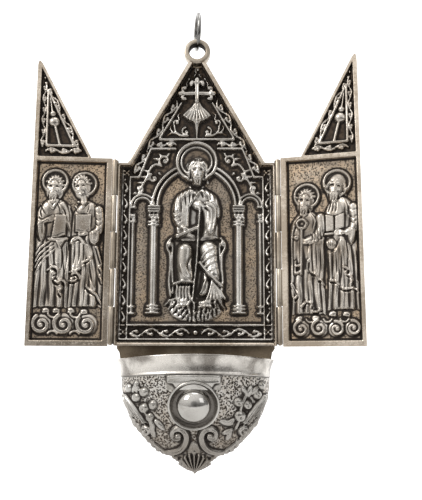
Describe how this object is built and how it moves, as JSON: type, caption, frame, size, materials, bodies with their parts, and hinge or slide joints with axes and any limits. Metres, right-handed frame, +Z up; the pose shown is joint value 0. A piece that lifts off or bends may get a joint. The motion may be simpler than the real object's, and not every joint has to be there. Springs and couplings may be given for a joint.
{
  "type": "hanging triptych with holy water bowl",
  "caption": "Small hanging devotional triptych in silver: a gabled relief panel with two hinged relief doors and a pointed holy water bowl below it.",
  "frame": {"origin": "top of the inside of the hanging ring, where the wall hook carries the part", "axes": "+Z up, +X to the viewer's right, -Y towards the viewer; the wall is behind, on the +Y side"},
  "size_m": [0.1234, 0.0246, 0.1776],
  "materials": {
    "case_silver": "embossed old silver, warm grey on the high places and brown patina in the hollows",
    "door_silver": "embossed old silver with a stippled tan ground and brown patina in the hollows",
    "plate_silver": "plain old silver sheet, dulled and browned",
    "bowl_silver": "embossed silver, cooler and cleaner, with a polished rim and boss",
    "fitting_silver": "plain silver wire and tube, rubbed bright"
  },
  "bodies": {
    "stoup": {"centre_case": "case_silver", "back_plate": "plate_silver", "holy_water_bowl": "bowl_silver", "hanging_eye": "fitting_silver", "hanging_ring": "fitting_silver", "left_hinge_pin": "fitting_silver", "right_hinge_pin": "fitting_silver"},
    "left_door": {"left_door": "door_silver"},
    "right_door": {"right_door": "door_silver"}
  },
  "joints": [
    {"name": "left_door_hinge", "type": "hinge", "parent": "stoup", "child": "left_door", "pos_m": [-0.031, -0.0027, -0.095], "axis": [0, 0, 1], "range_deg": [-5, 175]},
    {"name": "right_door_hinge", "type": "hinge", "parent": "stoup", "child": "right_door", "pos_m": [0.031, -0.0027, -0.095], "axis": [0, 0, -1], "range_deg": [-15, 165]}
  ]
}
